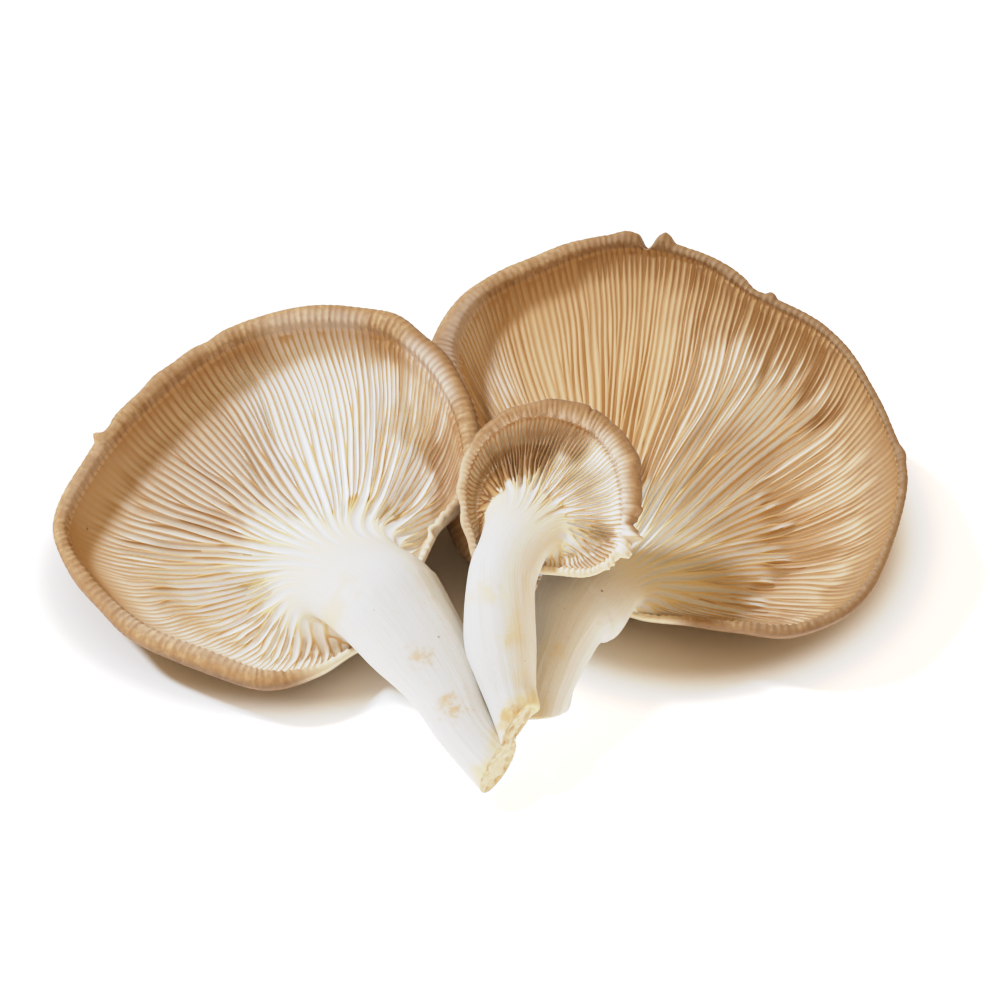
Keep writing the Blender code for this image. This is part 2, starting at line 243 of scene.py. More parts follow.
def closed_curve(points, turns):
    """Smooth closed curve through points, read at turns (0 to 1 along its length)."""
    points = np.asarray(points, float)
    count = len(points)
    steps = np.linalg.norm((np.roll(points, -1, 0) - points)[:, :2], axis=1)
    knots = np.concatenate(([0.0], np.cumsum(steps)))
    ahead = np.roll(points, -1, 0) - points
    behind = points - np.roll(points, 1, 0)
    step_back = np.roll(steps, 1)[:, None]
    step_on = steps[:, None]
    slopes = (ahead / step_on * step_back + behind / step_back * step_on) / (step_back + step_on)
    along = (np.asarray(turns) % 1.0) * knots[-1]
    span = np.clip(np.searchsorted(knots, along, side="right") - 1, 0, count - 1)
    width = steps[span][:, None]
    part = (along - knots[span])[:, None] / width
    after = (span + 1) % count
    return ((1 + 2 * part) * (1 - part) ** 2 * points[span]
            + part * (1 - part) ** 2 * width * slopes[span]
            + part ** 2 * (3 - 2 * part) * points[after]
            + part ** 2 * (part - 1) * width * slopes[after])


def cap_axes(body):
    """The cap's right, away and gill-side directions."""
    tilt = math.radians(body["tilt"])
    lean = math.radians(body["lean"])
    right = np.array((1.0, 0.0, 0.0))
    away = np.array((0.0, math.cos(tilt), math.sin(tilt)))
    normal = np.array((0.0, -math.sin(tilt), math.cos(tilt)))
    return (right * math.cos(lean) + normal * math.sin(lean), away,
            normal * math.cos(lean) - right * math.sin(lean))


def stem_frames(body):
    """Each stem point's centre, half width, half height, and forward, side and up directions."""
    stem = np.array(body["stem"], float)
    frames = []
    for index, (x, y, z, half_width, half_height) in enumerate(stem):
        before = stem[max(index - 1, 0)][:3]
        following = stem[index + 1][:3] if index + 1 < len(stem) else np.array(body["junction"])
        forward = (following - before) / np.linalg.norm(following - before)
        side = np.cross(forward, (0.0, 0.0, 1.0))
        side /= np.linalg.norm(side)
        centre = np.array((x, y, z))
        frames.append((centre, half_width, half_height, forward, side, np.cross(side, forward)))
    return frames


def clear_of(points, neighbour):
    """Moves points that lie in a neighbour's stem out to its skin, plus the seam's width."""
    frames = stem_frames(neighbour)
    stations = []
    for here, there in zip(frames, frames[1:]):
        for part in np.arange(SEAM_STATIONS) / SEAM_STATIONS:
            stations.append([a * (1 - part) + b * part for a, b in zip(here, there)])
    centres = np.array([station[0] for station in stations])
    for index, point in enumerate(points):
        nearest = np.argmin(np.linalg.norm(centres - point, axis=1))
        centre, half_width, half_height, _, side, up = stations[nearest]
        offset = point - centre
        along_side = offset @ side
        along_up = offset @ up
        share = math.hypot(along_side / (half_width + SEAM), along_up / (half_height + SEAM))
        if share < 1.0:
            points[index] += (side * along_side + up * along_up) * (1 / share - 1)
    return points


def rim_turns(columns):
    """Columns crowd under the stem, where the margin is short and the stem is wide."""
    return columns - COLUMN_CROWDING * np.sin(2 * np.pi * columns) / (2 * np.pi)


def rings_of(body, columns):
    """All rings of a fruit body at the given columns: array (ring, column, xyz)."""
    columns = np.asarray(columns, float)
    angle = 2 * np.pi * columns
    sine = np.sin(angle)[:, None]
    cosine = np.cos(angle)[:, None]
    right, away, normal = cap_axes(body)
    junction = np.array(body["junction"])
    rings = []
    for index, (centre, half_width, half_height, forward, side, up) in enumerate(stem_frames(body)):
        ring = centre + sine * half_width * side - cosine * half_height * up
        if index == 0 and body["knife"]:
            ring += ((KNIFE_POINT - ring) @ KNIFE_NORMAL / (forward @ KNIFE_NORMAL))[:, None] * forward
        elif index == 0:
            across_cut, down_cut = body["cut"]
            ring += forward * (across_cut * sine * half_width - down_cut * cosine * half_height)
        for neighbour in body.get("grows_on", ()):
            ring = clear_of(ring, neighbour)
        rings.append(ring)

    bearing = math.radians(body["stem_bearing"])
    outward = np.array((math.cos(bearing), math.sin(bearing)))
    across = np.array((-outward[1], outward[0]))
    half_width, reach, middle, front_height, back_height = body["collar"]
    flat = np.array(middle) + across * sine * half_width + outward * cosine * reach
    height = (front_height + back_height) / 2 + cosine[:, 0] * (front_height - back_height) / 2
    collar = np.column_stack((flat, height))

    rim_points = []
    for bearing_degrees, distance, lift, roll in body["rim"]:
        bearing = math.radians(bearing_degrees)
        rim_points.append((distance * math.cos(bearing), distance * math.sin(bearing), lift, roll))
    turns = rim_turns(columns)
    rim = closed_curve(rim_points, turns)
    tangent = closed_curve(rim_points, turns + TANGENT_STEP)
    tangent -= closed_curve(rim_points, turns - TANGENT_STEP)
    tangent = tangent[:, :2] / np.linalg.norm(tangent[:, :2], axis=1)[:, None]
    outside = np.column_stack((tangent[:, 1], -tangent[:, 0]))
    roll = rim[:, 3]
    core = rim[:, :2] - outside * roll[:, None]

    depth, swing, low_bearing = body["dish"]
    facing = np.arctan2(rim[:, 1], rim[:, 0]) - math.radians(low_bearing)
    span = np.linalg.norm(core - collar[:, :2], axis=1)
    sunk = (depth + swing * np.cos(facing)) * (1 - np.exp(-span / DISH_RUN))

    def place(flat_points, heights):
        return (junction + flat_points[:, :1] * right + flat_points[:, 1:2] * away
                + np.asarray(heights)[:, None] * normal)

    rings.append(place(collar[:, :2], collar[:, 2]))
    lip = core - outside * roll[:, None]
    for share, sink in GILL_RINGS:
        points = collar[:, :2] * (1 - share) + lip * share
        base = collar[:, 2] * (1 - share) ** 2 + rim[:, 2] * share ** 1.5
        rings.append(place(points, base - sunk * sink))
    for turn in ROLL_TURNS:
        turn = math.radians(turn)
        points = core + outside * (roll * math.cos(turn))[:, None]
        rings.append(place(points, rim[:, 2] + roll * math.sin(turn)))
    apex = np.array(body["apex"])
    inside, below = ROLL_ON_TOP
    flank, crown = DOME_POWERS
    for share in TOP_RINGS:
        points = apex * (1 - share) + (core + outside * roll[:, None] * inside) * share
        drop = body["dome"] * (1 - share ** flank) ** crown
        heights = rim[:, 2] * share ** 2 - roll * below - drop
        ring = place(points, heights)
        above = ring[:, 2] - FLOOR_CLEARANCE
        ring[:, 2] = FLOOR_CLEARANCE + FLOOR_SOFTNESS * np.logaddexp(0.0, above / FLOOR_SOFTNESS)
        rings.append(ring)
    return np.array(rings)


def skin(rings, rows):
    """Points of the skin: rows are ring numbers with fractions, joined by a smooth curve."""
    last = len(rings) - 1
    padded = np.concatenate((rings[:1], rings, rings[-1:]))
    result = []
    for row in rows:
        index = min(int(row), last - 1)
        part = row - index
        before, start, end, after = padded[index:index + 4]
        chord = np.linalg.norm(end - start, axis=1)[:, None] + TINY
        chord_back = np.linalg.norm(start - before, axis=1)[:, None]
        chord_on = np.linalg.norm(after - end, axis=1)[:, None]
        flow_in = (end - start) / chord
        if index > 0:
            flow_in = ((end - start) * chord_back / chord + (start - before) * chord / chord_back)
            flow_in = flow_in / (chord_back + chord)
        flow_out = (end - start) / chord
        if index < last - 1:
            flow_out = ((after - end) * chord / chord_on + (end - start) * chord_on / chord)
            flow_out = flow_out / (chord + chord_on)
        result.append((1 + 2 * part) * (1 - part) ** 2 * start
                      + part * (1 - part) ** 2 * chord * flow_in
                      + part ** 2 * (3 - 2 * part) * end
                      + part ** 2 * (part - 1) * chord * flow_out)
    return np.array(result)


# ---- helpers
def ease(low, high, value):
    """0 at low, 1 at high and beyond, smooth between; low may be the larger one."""
    part = np.clip((np.asarray(value, float) - low) / (high - low), 0.0, 1.0)
    return part * part * (3 - 2 * part)


class Ripple:
    """Smooth seeded noise: a sum of a few waves in any number of coordinates."""

    def __init__(self, seed, scales, waves=14):
        draw = np.random.default_rng(seed)
        self.directions = draw.normal(size=(waves, len(scales))) / np.asarray(scales, float)
        self.phases = draw.uniform(0, 2 * np.pi, waves)
        self.gain = 1 / math.sqrt(waves / 2)

    def __call__(self, *coordinates):
        coordinates = np.broadcast_arrays(*coordinates)
        total = np.zeros(coordinates[0].shape)
        for direction, phase in zip(self.directions, self.phases):
            wave = phase
            for weight, coordinate in zip(direction, coordinates):
                wave = wave + weight * coordinate
            total += np.sin(wave)
        return total * self.gain


# ---- the fine mesh
# Rings counted from the collar: the roll's first and outermost ones, and the first of the top.
LIP_RING = 6
MARGIN_RING = 9
TOP_RING = 11
COLUMNS_PER_GILL = 5
GROUP = 8       # gills from one full length gill to the next
DENSE = 2048    # columns that every fine row is read from
STEM_ROWS_PER_RING = 9
FACE_ROWS = (13, 16, 15, 15, 13, 9, 6)  # rows from ring to ring, from the stem to the lip
ROLL_ROWS = (5, 5, 4, 4, 4)
TOP_ROWS = (4, 5, 5, 4, 3)
WALL_WIDTH = 0.18   # of a gill's wall, as a share of the gill's place
PROFILE_HEIGHT = np.array((0.0, 0.35, 1.0, 1.0, 0.35))
PLEAT_HEIGHT = np.array((0.0, 0.4, 1.0, 1.0, 0.4))
LEAST_ROOM = 0.12   # share of the gill depth that is left on the shortest face
MARGIN_WAVE = 0.22
SHRED_LIFT = 0.6
PLEAT_DEPTH = 0.17
LIP_PLEAT_DEPTH = 0.22
CREST_WAVE = 0.16
STEM_FIBRE = 0.035
STEM_LUMP = 0.20
CUT_SHARES = (0.97, 0.88, 0.74, 0.56, 0.36, 0.16, 0.0)
CUT_GRAIN = 0.22
CUT_SINK = 0.25
CUT_LENGTH = 6.0    # room in the layout for the cut end, and for the tip
TIP_LENGTH = 4.0
LAYOUT_WIDTH = 1.02
SCALARS = ("crest", "reach", "bare", "turn", "length")
VECTORS = ("flow", "tone")


def fine_rows(first, counts):
    rows = []
    for index, count in enumerate(counts):
        rows.extend(first + index + np.arange(count) / count)
    return np.array(rows)


def gill_plan(count, draw):
    """Where each gill starts, as a share of the way from the collar to the margin."""
    starts = np.zeros(count)
    kinds = np.arange(count) % GROUP
    starts[kinds == 0] = draw.uniform(-0.14, -0.02, (kinds == 0).sum())
    starts[kinds == 4] = draw.uniform(-0.04, 0.16, (kinds == 4).sum())
    starts[kinds % 4 == 2] = draw.uniform(0.04, 0.34, (kinds % 4 == 2).sum())
    starts[kinds % 2 == 1] = draw.uniform(0.40, 0.80, (kinds % 2 == 1).sum())
    return starts


def gill_edges(width):
    """Left edge of every gill, row by row; the middle of each full length gill keeps its place."""
    rows, count = width.shape
    group_count = count // GROUP
    groups = width.reshape(rows, group_count, GROUP)
    following = np.roll(groups[:, :, 0], -1, axis=1)
    total = groups.sum(axis=2) - groups[:, :, 0] / 2 + following / 2
    before = np.zeros(groups.shape)
    before[:, :, 1:] = np.cumsum(groups, axis=2)[:, :, :-1]
    local = (before - groups[:, :, :1] / 2) / total[:, :, None]
    local[:, :, 0] = -groups[:, :, 0] / 2 / np.roll(total, 1, axis=1)
    edges = (np.arange(group_count)[None, :, None] + local) * GROUP / count
    edges = edges.reshape(rows, count)
    return np.concatenate((edges, edges[:, :1] + 1.0), axis=1)


def gill_layout(body, shares, draw):
    """Edges of every gill in turns, row by row, and how tall each gill stands there (0 to 1)."""
    count = body["gills"]
    starts = gill_plan(count, draw) * body["fork"]
    begun = shares[:, None] - starts[None, :]
    height = ease(0.0, 0.12, begun)
    height *= 1 - (0.15 + 0.30 * draw.random(count)[None, :]) * (starts > 0.1)
    width = 0.02 + 0.98 * ease(-0.10, 0.26, begun)
    width *= 1 + 0.35 * (draw.random(count)[None, :] - 0.5)
    width[:, ::GROUP] *= 1.15
    relax = ease(-0.05, -0.2, shares)[:, None]
    edges = gill_edges(width * (1 - relax) + relax)

    # Sideways waves, shared by neighbours, and each gill's own small ones.
    turn = 2 * np.pi * edges
    scale = count / 10 / (2 * np.pi)
    shared = Ripple(body["seed"] + 1, (1.0, 1.0, 0.22))
    own = Ripple(body["seed"] + 2, (0.8, 0.10))
    sway = body["sway"] * shared(scale * np.cos(turn), scale * np.sin(turn), shares[:, None])
    wander = own(np.append(np.arange(count), 0.0)[None, :], shares[:, None])
    fade = ease(0.0, 0.25, shares) * ease(1.02, 0.8, shares)
    edges = edges + (sway + 0.06 * wander) * fade[:, None] / count

    ends = draw.uniform(0.97, 1.05, count)
    height *= ease(0.035, -0.035, shares[:, None] - ends[None, :])
    return edges, height


def interpolate(grid_row, columns):
    """Reads a dense closed row of points at any columns."""
    place = (columns % 1.0) * DENSE
    low = np.floor(place).astype(int)
    part = (place - low)[:, None]
    return grid_row[low % DENSE] * (1 - part) + grid_row[(low + 1) % DENSE] * part


def normals_of(grid):
    along = np.gradient(grid, axis=0)
    around = np.roll(grid, -1, 1) - np.roll(grid, 1, 1)
    normal = np.cross(around, along)
    return normal / (np.linalg.norm(normal, axis=2)[:, :, None] + TINY)


def nearness(turns, centre, half, plateau):
    """1 near a place on the margin, up to a share of the half width; 0 from the half width on."""
    return ease(half, half * plateau, np.abs((turns - centre + 0.5) % 1.0 - 0.5))


def tones_at(body, turns, share, ragged):
    """How much painted shade, painted light and painted flat shade the gill face gets: soft patches,
    ragged from gill to gill.
    """
    tones = np.zeros((len(turns), 3))
    for number, kind in enumerate(("painted_shade", "painted_light", "painted_flat_shade")):
        for centre, half, low, high, amount in body["tones"][kind]:
            near = nearness(turns, centre, half, 0.45)
            near = near * ease(low - 0.04, low + 0.04, share + ragged)
            near = near * ease(high + 0.06, high - 0.06, share)
            tones[:, number] = np.maximum(tones[:, number], near * amount)
    return tones


def bare_at(body, turns):
    """How much of the brown skin is missing."""
    bare = np.zeros(len(turns))
    for centre, half, amount in body["bare"]:
        bare = np.maximum(bare, amount * nearness(turns, centre, half, 0.6))
    return bare


class Relief:
    """What the skin adds to the smooth rows: gills, a pleated and torn margin, stem fibres."""

    def __init__(self, body, rings, draw):
        self.body = body
        seed = body["seed"]
        count = body["gills"]
        collar = len(body["stem"])
        outward = rings[collar + MARGIN_RING] - rings[collar + LIP_RING]
        self.margin = outward / (np.linalg.norm(outward, axis=1)[:, None] + TINY)
        span = np.linalg.norm(rings[collar + LIP_RING] - rings[collar], axis=1)
        self.room = np.clip(span / body["deep_from"], LEAST_ROOM, 1.0)[:, None]
        self.depth_wave = Ripple(seed + 3, (1.3, 0.12))
        self.crest_wave = Ripple(seed + 4, (1.7, 0.16))
        self.fibre = Ripple(seed + 5, (0.55, 0.55, 16.0), waves=30)
        self.lump = Ripple(seed + 6, (9.0, 9.0, 9.0))
        self.margin_wave = Ripple(seed + 8, (0.10, 0.10), waves=20)
        self.shred = Ripple(seed + 9, (0.016, 0.016), waves=18)
        self.numbers = np.repeat(np.arange(count) * 1.0, COLUMNS_PER_GILL)
        self.vigour = np.repeat(draw.uniform(0.2, 1.0, count), COLUMNS_PER_GILL)
        self.ragged = np.repeat(draw.uniform(-0.08, 0.08, count), COLUMNS_PER_GILL)

    def gills(self, share, columns, turns, tall, tone):
        """How far a row of the gill face sinks, and how tall its gills look."""
        smooth = np.ones(len(turns))
        for centre, half, low in self.body["smooth"]:
            smooth *= 1 - (1 - low) * nearness(turns, centre, half, 0.4) * ease(0.70, 0.97, share)
        room = interpolate(self.room, columns)[:, 0]
        depth = self.body["gill_depth"] * ease(-0.14, 0.36, share)
        depth *= (1 - 0.50 * ease(0.55, 0.97, share)) * ease(1.003, 0.98, share)
        wobble = (1 + 0.08 * self.depth_wave(self.numbers, share)) * smooth * room
        # The gills are shallower under the painted light and the painted flat shade.
        wobble *= (1 - 0.6 * tone[:, 1]) * (1 - 0.6 * tone[:, 2])
        crest = CREST_WAVE * self.crest_wave(self.numbers, share) * tall * room
        crest *= ease(0.0, 0.2, share) * ease(1.0, 0.9, share)
        return depth * wobble * (1 - tall) + crest, tall * smooth + 0.20 * (1 - smooth)

    def pleats(self, reach):
        """How far a row of the roll sinks between its pleats, and how tall the pleats look."""
        pleat = np.tile(PLEAT_HEIGHT, self.body["gills"])
        crest = 1 - (1 - pleat) * ease(8.2, 6.2, reach)
        fading = ease(10.8, 7.0, reach)
        return PLEAT_DEPTH * (1 - pleat * self.vigour) * fading + LIP_PLEAT_DEPTH * (1 - crest), crest

    def margin_shift(self, columns, turns, reach):
        """How the margin leaves its smooth line: slow waves, marks of its own, and torn shreds."""
        around = 2 * np.pi * turns
        reach_out = MARGIN_WAVE * self.margin_wave(np.cos(around), np.sin(around))
        lift = np.zeros(len(turns))
        for centre, half, out, up in self.body["marks"]:
            near = nearness(turns, centre, half, 0.0)
            reach_out = reach_out + out * near
            lift = lift + up * near
        shreds = np.zeros(len(turns))
        for centre, half, amount in self.body["torn"]:
            shreds = shreds + amount * nearness(turns, centre, half, 0.4)
        shreds = shreds * self.shred(np.cos(around), np.sin(around))
        shreds = shreds * ease(6.0, 7.5, reach) * ease(10.5, 8.8, reach)
        grown = ease(6.0, 8.0, reach) * ease(13.0, 10.5, reach)
        reach_out = reach_out * grown + shreds
        lift = lift * grown + np.abs(shreds) * SHRED_LIFT
        shift = interpolate(self.margin, columns) * reach_out[:, None]
        return shift + cap_axes(self.body)[2] * lift[:, None]

    def fibred(self, points, outward, turns, length):
        """A row of the stem with its fibres and lumps."""
        angle = 2 * np.pi * turns
        fibres = self.fibre(5 * np.cos(angle), 5 * np.sin(angle), np.full(len(turns), length))
        points = points + outward * (STEM_FIBRE * fibres)[:, None]
        return points + outward * (STEM_LUMP * self.lump(*points.T))[:, None]


class Surface:
    """Rows of points, each point with the values that its material and its layout read."""

    def __init__(self):
        self.points = []
        self.faces = []
        self.values = {name: [] for name in SCALARS + VECTORS}

    def add(self, points, **values):
        """Adds a row and returns where it starts; a single value counts for the whole row."""
        start = len(self.points)
        self.points.extend(points)
        for name, column in self.values.items():
            shape = (len(points), 3) if name in VECTORS else (len(points),)
            column.extend(np.broadcast_to(np.asarray(values[name], float), shape))
        return start

    def join(self, low, high, low_fine, high_fine, count):
        """Faces between two neighbouring rows, which may differ in how fine they are."""
        if low_fine == high_fine:
            size = count * COLUMNS_PER_GILL if low_fine else count
            for column in range(size):
                following = (column + 1) % size
                self.faces.append((low + column, high + column, high + following, low + following))
            return
        coarse, fine = (high, low) if low_fine else (low, high)
        middle = COLUMNS_PER_GILL // 2
        for cell in range(count):
            after = (cell + 1) % count
            ring = [fine + cell * COLUMNS_PER_GILL + step for step in range(COLUMNS_PER_GILL)]
            ring.append(fine + after * COLUMNS_PER_GILL)
            fans = [(coarse + cell, ring[step], ring[step + 1])
                    for step in (*range(middle, COLUMNS_PER_GILL), *range(middle))]
            fans.append((coarse + (cell - 1) % count, ring[0], coarse + cell))
            for fan in fans:
                self.faces.append(fan[::-1] if low_fine else fan)

    def close_cut(self, body):
        """The cut end: smaller and smaller rings, with the torn grain of a knife cut."""
        count = body["gills"]
        end_points = np.array(self.points[:count])
        end_turns = self.values["turn"][:count]
        centre = end_points.mean(axis=0)
        grain = Ripple(body["seed"] + 7, (0.5, 0.5, 0.5), waves=24)
        plane = KNIFE_NORMAL if body["knife"] else -stem_frames(body)[0][3]
        previous = 0
        for share in CUT_SHARES:
            points = centre + (end_points - centre) * share
            points = points + plane * (CUT_GRAIN * grain(*points.T) - CUT_SINK)[:, None]
            if share == 0.0:
                points = points[:1]
            start = self.add(points, crest=1.0, reach=-len(body["stem"]) - 1.0, bare=0.0,
                             turn=end_turns[:len(points)], length=-(1 - share) * CUT_LENGTH,
                             flow=points, tone=0.0)
            for column in range(count):
                following = (column + 1) % count
                if share:
                    self.faces.append((start + column, previous + column, previous + following,
                                       start + following))
                else:
                    self.faces.append((start, previous + column, previous + following))
            previous = start

    def close_top(self, last_start, count, reach, length):
        """The tip of the cap's top, in the middle of the last row."""
        middle = np.array(self.points[last_start:last_start + count]).mean(axis=0)
        tip = self.add([middle], crest=1.0, reach=reach, bare=0.0, turn=0.5,
                       length=length + TIP_LENGTH, flow=(0.0, 0.0, length), tone=0.0)
        for column in range(count):
            self.faces.append((tip, last_start + (column + 1) % count, last_start + column))

    def mesh(self, name):
        mesh = bpy.data.meshes.new(name)
        mesh.from_pydata(((np.array(self.points) + ORIGIN_SHIFT) * MM).tolist(), [], self.faces)
        mesh.shade_smooth()
        values = {key: np.array(column) for key, column in self.values.items()}
        for key in ("crest", "reach", "bare"):
            add_attribute(mesh, key, "FLOAT", values[key])
        add_attribute(mesh, "side", "FLOAT", np.sin(2 * np.pi * values["turn"]))
        for key in VECTORS:
            add_attribute(mesh, key, "FLOAT_VECTOR", values[key])
        add_layout(mesh, values["turn"], values["length"])
        return mesh


def build_mushroom(body):
    draw = np.random.default_rng(body["seed"])
    count = body["gills"]
    collar = len(body["stem"])
    rings = rings_of(body, np.arange(DENSE) / DENSE)
    last_ring = len(rings) - 1

    stem_rows = fine_rows(0, [STEM_ROWS_PER_RING] * (collar - 1))
    face_rows = fine_rows(collar - 1, FACE_ROWS)
    roll_rows = fine_rows(collar + LIP_RING, ROLL_ROWS)
    top_rows = np.append(fine_rows(collar + TOP_RING, TOP_ROWS), last_ring)
    rows = np.concatenate((stem_rows, face_rows, roll_rows, top_rows))
    face_begin = len(stem_rows)
    fine_end = face_begin + len(face_rows) + len(roll_rows)
    grid = skin(rings, rows)
    normal = normals_of(grid)
    steps = np.linalg.norm(np.diff(grid, axis=0), axis=2).max(axis=1)
    lengths = np.concatenate(([0.0], np.cumsum(steps)))
    reaches = rows - collar
    shares = np.interp(reaches, np.arange(-1, LIP_RING + 1), FACE_SHARES)

    edges, height = gill_layout(body, shares, draw)
    relief = Relief(body, rings, draw)
    half = body["blade"]
    wall = half + WALL_WIDTH
    profile_place = np.array((0.0, 0.5 - wall, 0.5 - half, 0.5 + half, 0.5 + wall))
    dense_columns = np.linspace(0, 1, DENSE + 1)
    dense_turns = rim_turns(dense_columns)
    rim_circle = count * 1.1 / (2 * np.pi)

    surface = Surface()
    starts = []
    for index, (share, reach, length) in enumerate(zip(shares, reaches, lengths)):
        fine = face_begin <= index < fine_end
        cell = edges[index]
        if fine:
            turns = (cell[:-1, None] + profile_place * np.diff(cell)[:, None]).ravel() % 1.0
        else:
            turns = (cell[:-1] + np.diff(cell) / 2) % 1.0
        columns = np.interp(turns, dense_turns, dense_columns)
        # The painted light and shade of the gill face, kept in an attribute for the material.
        tone = tones_at(body, turns, share, relief.ragged if fine else 0.0)
        points = interpolate(grid[index], columns)
        outward = interpolate(normal[index], columns)
        crest = 1.0
        if fine and share < 1.0:
            tall = (height[index][:, None] * PROFILE_HEIGHT).ravel()
            sink, crest = relief.gills(share, columns, turns, tall, tone)
            points = points - outward * sink[:, None]
        elif fine:
            sink, crest = relief.pleats(reach)
            points = points + relief.margin_shift(columns, turns, reach) - outward * sink[:, None]
        elif index < face_begin:
            points = relief.fibred(points, outward, turns, length)
        angle = 2 * np.pi * turns
        flow = np.column_stack((rim_circle * np.cos(angle), rim_circle * np.sin(angle),
                                np.full(len(turns), length)))
        starts.append(surface.add(points, crest=crest, reach=reach, bare=bare_at(body, turns),
                                  turn=turns, length=length, flow=flow, tone=tone))
    for index in range(len(rows) - 1):
        surface.join(starts[index], starts[index + 1], face_begin <= index < fine_end,
                     face_begin <= index + 1 < fine_end, count)
    surface.close_cut(body)
    surface.close_top(starts[-1], count, last_ring - collar, lengths[-1])

    name = body["name"] + "_skin"
    piece = bpy.data.objects.new(name, surface.mesh(name))
    bpy.context.scene.collection.objects.link(piece)
    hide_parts(body["name"])
    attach(piece, "root")
    return piece


def add_layout(mesh, turns, lengths):
    """A plain layout: once round the body across, and from the cut end to the cap's top up."""
    corners = np.zeros(len(mesh.loops), np.int32)
    mesh.loops.foreach_get("vertex_index", corners)
    across = turns[corners]
    starts = np.zeros(len(mesh.polygons), np.int32)
    sizes = np.zeros(len(mesh.polygons), np.int32)
    mesh.polygons.foreach_get("loop_start", starts)
    mesh.polygons.foreach_get("loop_total", sizes)
    largest = np.maximum.reduceat(across, starts)
    across = across + (np.repeat(largest, sizes) - across > 0.5)
    up = (lengths - lengths.min()) / (lengths.max() - lengths.min())
    corner_places = np.column_stack((across / LAYOUT_WIDTH, up[corners]))
    layer = mesh.uv_layers.new(name="OFBake")
    layer.data.foreach_set("uv", corner_places.astype(np.float32).ravel())


def add_attribute(mesh, name, kind, values):
    layer = mesh.attributes.new(name, kind, "POINT")
    field = "vector" if kind == "FLOAT_VECTOR" else "value"
    layer.data.foreach_set(field, np.asarray(values, np.float32).ravel())


# ---- materials
def srgb(red, green, blue):
    """sRGB bytes to a linear colour."""
    channels = []
    for byte in (red, green, blue):
        value = byte / 255
        channels.append(value / 12.92 if value <= 0.04045 else ((value + 0.055) / 1.055) ** 2.4)
    return (*channels, 1.0)


# The gill face from the stem (0) to the margin (1): between the gills, and on their edges. The valleys'
# darker tan is painted shade between the gills; the tan toward the margin is partly the flesh's own tan
# and partly painted shade under the rolled rim.
VALLEYS_PAINTED_SHADE = ((0.0, srgb(224, 222, 216)), (0.14, srgb(230, 218, 190)), (0.24, srgb(226, 202, 154)),
           (0.40, srgb(208, 170, 114)), (0.75, srgb(178, 136, 88)), (0.96, srgb(168, 128, 86)))
EDGES = ((0.0, srgb(216, 216, 214)), (0.2, srgb(228, 226, 222)), (0.6, srgb(230, 226, 216)),
         (0.84, srgb(222, 206, 180)), (0.97, srgb(190, 154, 112)))
# The painted flat shade (Z), painted shade (X) and painted light (Y), by the channel of the attribute that
# carries them: valleys, edges.
LIGHT_SHADE_PAINT_COLOURS = (("Z", srgb(184, 144, 96), srgb(204, 168, 122)),
         ("X", srgb(122, 82, 44), srgb(184, 146, 96)),
         ("Y", srgb(206, 172, 120), srgb(240, 242, 245)))
STEM_WHITE = srgb(215, 216, 216)
STEM_STREAK = srgb(198, 190, 172)
STEM_SIDE_SHADE_PALE = srgb(212, 204, 186)
STEM_SIDE_SHADE = srgb(212, 194, 152)
STEM_FLECK = srgb(198, 180, 146)
STEM_BLOTCH = srgb(216, 192, 138)
STEM_SCAR = srgb(150, 110, 70)
STAIN_DARK = srgb(120, 84, 52)
STAIN_TAN = srgb(196, 154, 94)
RIM_BROWN = srgb(164, 128, 86)
RIM_PALE = srgb(188, 155, 112)
RIM_BLOTCH = srgb(154, 117, 76)
RIM_GRAIN = srgb(146, 110, 72)
RIM_PAINTED_SHADE = srgb(112, 84, 54)
RIM_GROOVE_PAINTED_SHADE = srgb(112, 80, 48)
TOP_DARK = srgb(102, 76, 52)
TOP_PALE = srgb(140, 110, 80)
TOP_STREAK = srgb(124, 92, 62)
BARE_FLESH = srgb(226, 210, 182)
RIM_PAINTED_HIGHLIGHT = srgb(226, 206, 184)
LIP_PAINTED_LIGHT = srgb(232, 226, 218)
CUT_PALE = srgb(216, 200, 172)
CUT_DARK = srgb(194, 172, 136)
SPECK = 0.001           # stains of a smaller radius, in metres, are dark
STAIN_RAGGEDNESS = 3.2


def set_inputs(node, values):
    for key, value in values.items():
        node.inputs[key].default_value = value


